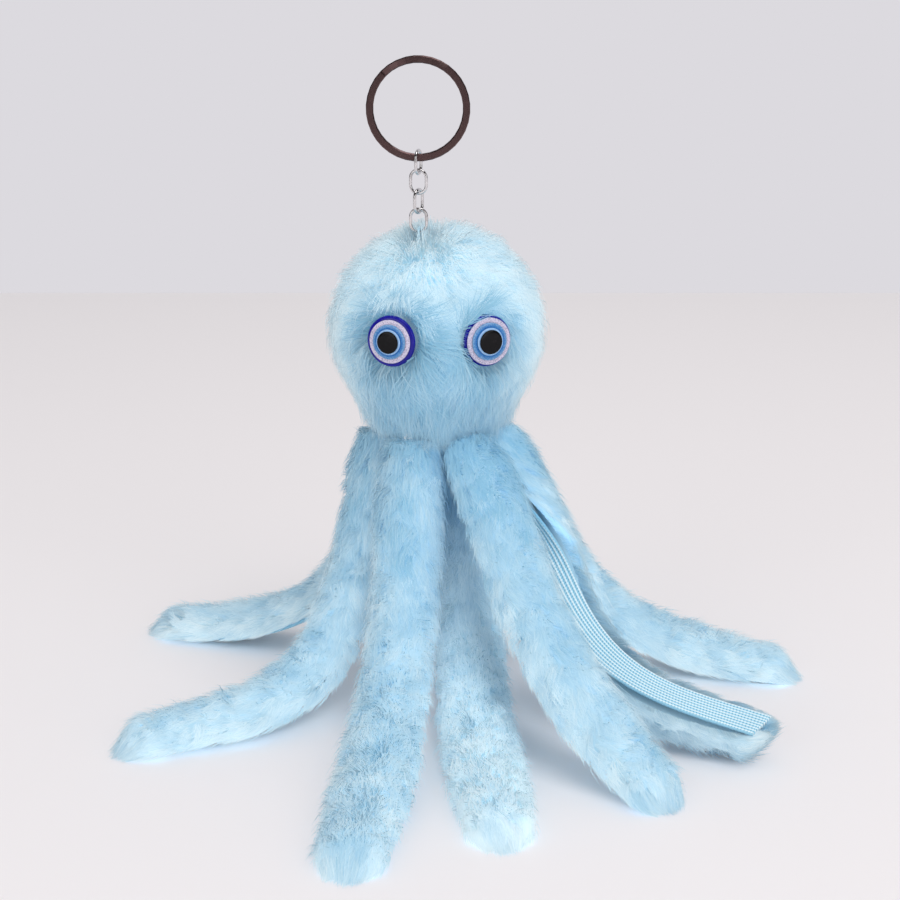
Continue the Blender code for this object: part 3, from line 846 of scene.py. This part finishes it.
def brushed(ways, loop_way, nose_way, eyes):
    """Which way the head's fur lies at each direction, and how far over."""
    up = ways[:, 2:]
    crown = held((up + 0.1) / 0.8)
    away = sideways(ways, ways - loop_way)
    down = sideways(ways, [0.0, 0.0, -1.0])
    lie = away * (0.2 + 0.8 * crown) + down * (1.0 - 0.6 * crown)
    lean = (0.34 - 0.14 * crown) * (1 - 0.9 * bell(lengths(ways - loop_way), 0, 0.2)[:, None])
    left, right = eyes
    off = ways - left
    near = bell(lengths(off), 0, 0.42)[:, None]
    lie = lie + 3.0 * near * sideways(ways, off)
    lean = lean + 0.12 * near
    off = ways - right
    near = bell(lengths(off), 0, 0.46)[:, None]
    above = np.clip(0.35 + off[:, 2:] * 4, 0.05, 1)
    swirl = sideways(ways, np.cross(off, right))
    lie = lie + 3.2 * near * above * swirl + 1.2 * near * sideways(ways, off)
    lean = lean + 0.14 * near * above
    off = ways - nose_way
    near = bell(lengths(off), 0, 0.13)[:, None]
    lie = lie + 3.0 * near * sideways(ways, [1.0, 0.0, 0.12])
    lean = lean + 0.10 * near
    return sideways(ways, lie), lean[:, 0]


def make_head_fur(finish, head, beads):
    """Hairs on the head's form, each leant as the fur is brushed there and drawn towards its clump."""
    rng = np.random.default_rng(11)
    loop = node_points("hanging_loop").mean(axis=0)
    loop_way = unit(np.array([loop[0], loop[1], head.middle[2] + head.radius]) - head.middle)
    nose_way = head.way_at(*NOSE_PX)
    eyes = [unit(foot - head.middle) for foot, _, _ in beads]

    clump_ways = even_ways(HEAD_CLUMPS, rng)
    clump_lie, clump_lean = brushed(clump_ways, loop_way, nose_way, eyes)
    clump_side = np.cross(clump_ways, clump_lie)
    stray = rng.normal(0, 0.45, (HEAD_CLUMPS, 1))
    clump_lie = unit(clump_lie * np.cos(stray) + clump_side * np.sin(stray))
    clump_lean = clump_lean * rng.normal(1.0, 0.25, HEAD_CLUMPS)
    clump_pull = rng.uniform(0.1, 0.6, HEAD_CLUMPS)
    clump_tone = rng.normal(0.0, 0.10, HEAD_CLUMPS)
    clump_rise = rng.normal(0.0, 0.5, HEAD_CLUMPS) * MM
    clump_drop = rng.normal(0.0, 1.5, HEAD_CLUMPS) * MM

    ways = even_ways(HEAD_HAIRS, rng)
    under = (ways[:, 2] < -0.6) & (lengths(ways[:, :2]) < 0.62)
    ways = ways[~under]
    count = len(ways)
    own = nearest_of(clump_ways, ways)
    lie, lean = brushed(ways, loop_way, nose_way, eyes)
    lie = sideways(ways, unit(lie * 0.45 + clump_lie[own] * 0.55 + rng.normal(0, 0.28, ways.shape)))
    lean = (lean * 0.4 + clump_lean[own] * 0.6) * rng.normal(1.0, 0.18, count)
    tip_ways = unit(ways + lie * lean[:, None])
    gathered = unit(clump_ways + clump_lie * clump_lean[:, None])[own] + (ways - clump_ways[own]) * 0.4
    pull = (clump_pull[own] * rng.uniform(0.3, 1.0, count))[:, None]
    tip_ways = unit(tip_ways * (1 - pull) + gathered * pull)

    crown = held((ways[:, 2] + 0.1) / 0.8)
    root = head.shell(ways, HEAD_HIDE_DEPTH)
    sink = (rng.normal(0.1, 0.8, count) - crown) * MM - clump_rise[own]
    for way, other, bank in zip(eyes, eyes[::-1], EYE_BANKS):
        beside = bell(lengths(ways - way), 0.28, 0.08)
        sink -= bank * beside * held((ways - way) @ unit(other - way) * 5)
    rise = head.shell(unit(ways * 0.7 + tip_ways * 0.3), sink - 1.8 * MM)
    tip = head.shell(tip_ways, sink)
    low = held((-ways[:, 2] - 0.22) / 0.33)[:, None] ** 1.5
    inner = held((-ways[:, 2] - 0.6) / 0.15)
    round_head = unit(tip_ways * [1, 1, 0])
    hang = round_head * (FRINGE_RADIUS - inner[:, None] * 2.5 * MM + rng.normal(0, 0.9, (count, 1)) * MM)
    hang[:, 2] = -FRINGE_DROP - inner * 3.0 * MM + clump_drop[own] + rng.normal(0.3, 0.7, count) * MM
    tip = tip * (1 - low) + (head.middle + hang) * low
    near = bell(lengths(tip[:, :2] - loop[:2]), 0, TUFT_RADIUS) * (ways[:, 2] > 0.5)
    tip[:, :2] += (loop[:2] - tip[:, :2]) * (0.45 * near)[:, None]
    tip[:, 2] += TUFT_HEIGHT * near * rng.uniform(0.2, 1.0, count)
    paths = curve_between(root, rise, tip, HEAD_HAIR_CUTS + 2)

    keep = np.ones(count, bool)
    for foot, way, radius in beads:
        along, _, far = off_axis(root, foot, way)
        keep &= ~((far < radius * 0.9) & (along > -9 * MM))
    keep &= (lengths(root[:, :2] - loop[:2]) > 0.9 * MM) | (ways[:, 2] < 0.3)
    paths = clear_of_beads(paths, ways, beads)
    # painted light that makes the lower sides of the head paler
    painted_flank_light = held((np.abs(ways[:, 0]) - 0.55) / 0.4)
    # paler towards the top and deeper below: painted light and shade from the light above, along with some
    # deeper colour of its own below
    tones = 0.24 + 0.58 * crown + 0.85 * painted_flank_light * (1 - crown) + clump_tone[own] + rng.normal(0, 0.10, count)
    # painted shade round each bead, most of it above the bead, where the hair parts round it
    for way in eyes:
        off = ways - way
        tones -= 0.6 * bell(lengths(off), 0.26, 0.12) * held(0.6 + off[:, 2] * 3)
    widths = HAIR_WIDTH * rng.uniform(0.75, 1.2, count)

    bm = bmesh.new()
    bmesh.ops.create_uvsphere(bm, u_segments=72, v_segments=48, radius=1.0)
    bmesh.ops.triangulate(bm, faces=bm.faces)
    balls = unit(np.array([v.co for v in bm.verts]))
    move_to(bm, clear_behind_beads(head.shell(balls, HEAD_HIDE_DEPTH - HIDE_COVER), beads))
    outward = unit(tip_ways + [0, 0, 0.15])
    block = hair_block(HEAD_HAIR_CUTS)
    hairs = []
    for part, share in (("upper", ways[:, 2] > 0), ("lower", ways[:, 2] <= 0)):
        own = keep & share
        made = (paths[own], widths[own], tones[own], outward[own])
        hairs.append(fur_mesh(f"head_{part}_hair", block, *made, HEAD_SOFTNESS, HEAD_ROOT))
    hide = hide_mesh("head_hide", bm, 0.7, HEAD_ROOT)
    keep_fur("head_fur_cover", hide, hairs, finish, "head")


def clear_behind_beads(points, beads):
    """Presses the hide in behind each bead."""
    for foot, way, radius in beads:
        along, _, far = off_axis(points, foot, way)
        deep = np.minimum(along, -2.6 * MM)
        pressed = (far < radius + 1 * MM) & (along > -8 * MM)
        points = np.where(pressed[:, None], points + (deep - along)[:, None] * way, points)
    return points


def leg_course(name):
    """Middle, side, normal and tangent of a leg at each ring of its tape, from the root outwards."""
    bm = bmesh.new()
    bm.from_mesh(NODES[f"leg_{name}_tape"].data)
    bmesh.ops.remove_doubles(bm, verts=bm.verts, dist=0.01 * MM)
    joint = next(j for j in frame["joints"] if j["name"] == f"leg_{name}_lift")
    pivot = Vector(joint["pos_m"])
    ring = sorted(bm.verts, key=lambda v: (v.co - pivot).length)[:4]
    seen, rings = set(), []
    while ring:
        seen.update(ring)
        rings.append(np.array([v.co for v in ring]))
        ring = list({e.other_vert(v) for v in ring for e in v.link_edges} - seen)
    bm.free()
    middles = np.array([r.mean(axis=0) for r in rings])
    tangents = unit(np.gradient(middles, axis=0))
    fur = node_points(f"leg_{name}_fur")
    near = fur[np.argsort(lengths(fur - middles[1]))[:16]].mean(axis=0)
    before = near - middles[1]
    normals = []
    for ring, tangent in zip(rings, tangents):
        normal = np.linalg.svd(ring - ring.mean(axis=0))[2][1]
        normal = unit(normal - tangent * (normal @ tangent))
        normal = normal if normal @ before > 0 else -normal
        normals.append(normal)
        before = normal
    normals = np.array(normals)
    return middles, np.cross(tangents, normals), normals, tangents


def leg_sizes(name, course):
    """Half the width to each side and the height of a leg's fur over its tape, at each ring."""
    middles, sides, normals, _ = course
    surface = surface_of(f"leg_{name}_fur")
    lift = 3.4 * MM
    found = []
    for middle, side, normal in zip(middles, sides, normals):
        start = middle + normal * lift
        row = []
        for way in (side, -side, normal):
            hit = surface.ray_cast(Vector(start), Vector(way), 20 * MM)
            row.append(hit[3] if hit[0] is not None else np.nan)
        found.append(row)
    found = np.array(found)
    found[:, 2] += lift
    places = np.arange(len(found))
    for column in found.T:
        known = ~np.isnan(column)
        column[:] = np.interp(places, places[known], column[known])
    return found


def make_leg_fur(name, finish, floor, course, seed):
    """Hairs on the form of a leg's fur, which lean outwards along the leg, and round its end."""
    middles, sides, normals, tangents = course
    sizes = leg_sizes(name, course)
    rng = np.random.default_rng(seed)
    last = len(middles) - 1
    length = lengths(np.diff(middles, axis=0)).sum()

    def spot(share):
        at = share * last
        return [between(middles, at)] + [unit(between(v, at)) for v in (sides, normals, tangents)]

    uneven = rng.uniform(0.45, 1.25, LEG_HAIRS)

    def section(share, angle, inset):
        """Places on the fur's outer form at shares of its length and angles from its crown, less an inset."""
        over = np.clip((share - 1) * length / LEG_TIP_ROUND + 1, 0, 1.5)
        turn = over / 1.5 * math.radians(LEG_TIP_TURN_DEG)
        at = np.minimum(share, 1 - LEG_TIP_ROUND / length)
        middle, side, normal, tangent = spot(at)
        size = between(sizes, held(at) * last)
        half = np.where(np.sin(angle) > 0, size[:, 0], size[:, 1]) - inset
        crown = size[:, 2] - LEG_WAIST - inset
        up = np.where(np.cos(angle) > 0, np.cos(angle) * crown, np.cos(angle) * 1.2 * MM)
        out = half * np.sin(angle) * np.cos(turn)
        bare = held(inset / (1.2 * MM))
        droop = (1 - bare) * held(over - 0.5) ** 1.5
        up = (LEG_WAIST + up * np.cos(turn)) * (1 - droop) - LEG_TIP_DROOP * droop
        reach = LEG_TIP_REACH * (1 - bare) * uneven
        ahead = (LEG_TIP_ROUND + reach - inset) * np.sin(turn) * (1 - 0.2 * np.sin(angle) ** 2)
        return middle + side * out[:, None] + normal * up[:, None] + tangent * ahead[:, None]

    def flat(share, angle):
        """Shares and angles as places on the fur laid flat."""
        return [(a * length, b * 7 * MM, 0) for a, b in zip(share, angle)]

    clump_share = rng.uniform(-0.04, 1.0, LEG_CLUMPS)
    clump_angle = rng.uniform(-1.9, 1.9, LEG_CLUMPS)
    clump_lean = rng.normal(1.0, 0.35, LEG_CLUMPS)
    clump_drift = rng.normal(0.0, 0.20, LEG_CLUMPS)
    clump_tone = rng.normal(0.0, 0.11, LEG_CLUMPS)
    clump_rise = rng.normal(0.0, 0.30, LEG_CLUMPS) * MM

    all_along = rng.uniform(-0.04, 1.0, LEG_HAIRS_ALONG)
    share = np.concatenate([all_along, rng.uniform(0.93, 1.03, LEG_HAIRS - LEG_HAIRS_ALONG)])
    angle = rng.uniform(-1.85, 1.85, LEG_HAIRS)
    own = nearest_of(flat(clump_share, clump_angle), flat(share, angle))
    pull = rng.uniform(0.05, 0.5, LEG_HAIRS)
    lean = LEG_LEAN / length * clump_lean[own]
    tip_share = share + lean * rng.normal(1.0, 0.25, LEG_HAIRS)
    tip_angle = angle + clump_drift[own] + rng.normal(0, 0.14, LEG_HAIRS)
    gathered_share = clump_share[own] + lean + (share - clump_share[own]) * 0.4
    gathered_angle = clump_angle[own] + clump_drift[own] + (angle - clump_angle[own]) * 0.4
    tip_share = tip_share * (1 - pull) + gathered_share * pull
    tip_angle = np.clip(tip_angle * (1 - pull) + gathered_angle * pull, -2.0, 2.0)

    root = section(share, angle, LEG_HIDE_DEPTH)
    stands = rng.uniform(0, 1, LEG_HAIRS) < LEG_STRAYS
    sink = (rng.normal(-0.6, 0.6, LEG_HAIRS) - 1.6 * stands) * MM - clump_rise[own]
    tip = section(tip_share, tip_angle, sink)
    tip[:, 2] -= rng.uniform(0.0, 0.8, LEG_HAIRS) * MM
    rise = section(share * 0.7 + tip_share * 0.3, angle * 0.8 + tip_angle * 0.2, sink - 1.3 * MM * ~stands)
    paths = curve_between(root, rise, tip, LEG_HAIR_CUTS + 2)
    rest = floor + 0.15 * MM + rng.uniform(0, 0.5, (LEG_HAIRS, 1)) * MM
    paths[..., 2] = np.maximum(paths[..., 2], rest)
    heart = spot(np.clip(tip_share, 0, 1 - LEG_TIP_ROUND / length))[0]
    outward = unit(unit(tip - heart) + [0, 0, 0.6])
    # painted shade on the first third of a leg, in the head's shadow
    head_shadow_mask = held(1 - share / 0.35)
    # painted shade on hairs whose tips reach down to the table, except at the leg's end
    painted_floor_shade = held(1 - (tip[:, 2] - floor) / (2.4 * MM)) * held((0.93 - share) / 0.06)
    outer = held((share - 0.5) / 0.3)
    at_end = held((tip_share - 0.9) / 0.08)
    # paler at the sides than along the middle: partly the fur's own tone, partly painted light and shade
    painted_side_light = held(np.abs(np.sin(tip_angle))) ** 2
    patches = np.sin(share * 17 + 1.7 * angle + seed) + np.sin(share * 41 - 2.3 * angle + 2 * seed)
    # each leg's painted shade by the head, and its painted light or shade all along
    painted_head_shade, painted_leg_light = LEG_PAINTED_LIGHT.get(name, USUAL_LEG_PAINTED_LIGHT)
    tones = 0.42 + 0.14 * outer - painted_head_shade * head_shadow_mask + painted_leg_light - 0.5 * painted_floor_shade
    tones += 0.24 * painted_side_light + 0.06 * patches - 0.06 * at_end + clump_tone[own] + rng.normal(0, 0.09, LEG_HAIRS)
    widths = HAIR_WIDTH * rng.uniform(0.8, 1.25, LEG_HAIRS)

    bm = bmesh.new()
    bm.from_mesh(NODES[f"leg_{name}_fur"].data)
    bmesh.ops.remove_doubles(bm, verts=bm.verts, dist=0.01 * MM)
    bm.normal_update()
    inner = np.array([v.co - v.normal * (LEG_HIDE_DEPTH - HIDE_COVER) * 0.85 for v in bm.verts])
    ahead = (inner - middles[-1]) @ tangents[-1] + 4 * MM
    inner -= np.where(ahead > 0, ahead * 0.6, 0)[:, None] * tangents[-1]
    move_to(bm, inner)
    block = hair_block(LEG_HAIR_CUTS)
    hairs = fur_mesh(f"{name}_leg_hair", block, paths, widths, tones, outward, LEG_SOFTNESS, LEG_ROOT)
    hide = hide_mesh(f"{name}_leg_hide", bm, 0.6, LEG_ROOT)
    keep_fur(f"leg_{name}_fur", hide, [hairs], finish, f"leg_{name}")


def make_leg_tape(name, finish, course):
    """The ribbed tape: a grid with its ribs raised, given its thickness and laid along the leg."""
    middles, sides, normals, _ = course
    points = node_points(f"leg_{name}_tape")
    ends = points[np.argsort(lengths(points - middles[0]))[:4]] - middles[0]
    half_width = np.abs(ends @ sides[0]).max()
    thick = 2 * np.abs(ends @ normals[0]).max()
    length = lengths(np.diff(middles, axis=0)).sum()
    narrowing = 0.0 if name in SQUARE_TAPES else TAPE_END_NARROWING
    across = TAPE_RIBS * 6
    along = (len(middles) - 1) * 4
    bm = bmesh.new()
    bmesh.ops.create_grid(bm, x_segments=across, y_segments=along, size=0.5)
    for vert in bm.verts:
        x, z = vert.co.x, vert.co.y + 0.5
        rib = abs(math.sin(math.pi * (x + 0.5) * TAPE_RIBS))
        edge = 1 - max(0, abs(x) - 0.47) / 0.03 * 0.6
        fray = (0.3 * MM / length) * math.sin(x * 61) * (z > 0.999)
        narrow = 1 - narrowing * max(0, 1 - (1 - z) * length / (4 * MM)) ** 2
        vert.co = (x * 2 * half_width * narrow, -thick * (0.22 + 0.28 * rib) * edge, z + fray)
    uv = bm.loops.layers.uv.new("weave")
    for face in bm.faces:
        for loop in face.loops:
            co = loop.vert.co
            loop[uv].uv = ((co.x / (2 * half_width) + 0.5) * TAPE_RIBS, co.z * length / WEAVE_PITCH)
    under = bmesh.ops.duplicate(bm, geom=bm.verts[:] + bm.edges[:] + bm.faces[:])["geom"]
    for vert in only(bmesh.types.BMVert, under):
        vert.co.y = -vert.co.y
    borders = [e for e in bm.edges if e.is_boundary]
    bmesh.ops.bridge_loops(bm, edges=borders)
    bend(bm, middles, sides, normals)
    new_piece(f"{name}_ribbed_tape", bm, finish, f"leg_{name}", f"leg_{name}_tape")


def make_stuffing(finish):
    """A lumpy ball of fibre with wisps that lie round it."""
    low, high = np.array(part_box("stuffing_ball"))
    centre, radius = (low + high) / 2, (high[0] - low[0]) / 2
    rng = np.random.default_rng(3)
    bm = bmesh.new()
    bmesh.ops.create_icosphere(bm, subdivisions=4, radius=1.0)
    balls = unit(np.array([v.co for v in bm.verts]))
    bumps = even_ways(60, rng)
    lump = np.exp(8 * (balls @ bumps.T - 1)).sum(axis=1)
    lump = (lump - lump.min()) / np.ptp(lump)
    move_to(bm, centre + balls * radius * (0.90 + 0.06 * lump)[:, None])
    count = 1500
    ways = even_ways(count, rng)
    lie = unit(np.cross(ways, unit(rng.normal(0, 1, ways.shape))))
    root = centre + ways * radius * 0.90
    rise = centre + unit(ways + lie * 0.2) * radius
    tip = centre + unit(ways + lie * 0.5) * radius * 0.95
    paths = curve_between(root, rise, tip, 4)
    tones = rng.uniform(0, 1, count)
    widths = np.full(count, 0.25 * MM)
    wisps = fur_mesh("stuffing_hair", hair_block(2), paths, widths, tones, ways, 0.0, HEAD_ROOT)
    hide = hide_mesh("stuffing_hide", bm, 0.5, HEAD_ROOT)
    keep_fur("stuffing_ball", hide, [wisps], finish, "head")


def main():
    make_camera()
    floor = min(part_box(f"leg_{name}_{part}")[0][2] for name in LEGS for part in ("fur", "tape"))
    make_world()
    make_floor(floor)
    for light in LIGHTS:
        make_softbox(*light)
    bpy.context.scene.view_settings.view_transform = "Standard"
    finishes = make_finishes()
    head = Head()
    beads = make_eyes(finishes, head.middle)
    make_links(finishes["bright_steel"])
    NODES["key_ring"].data.materials.clear()
    NODES["key_ring"].data.materials.append(finishes["gunmetal"])
    make_sewing(finishes, head.middle)
    make_stuffing(finishes["white_fibre"])
    make_head_fur(finishes["pale_blue_fur"], head, beads)
    for seed, name in enumerate(LEGS):
        course = leg_course(name)
        make_leg_fur(name, finishes["pale_blue_fur"], floor, course, 20 + seed)
        make_leg_tape(name, finishes["woven_tape"], course)


main()
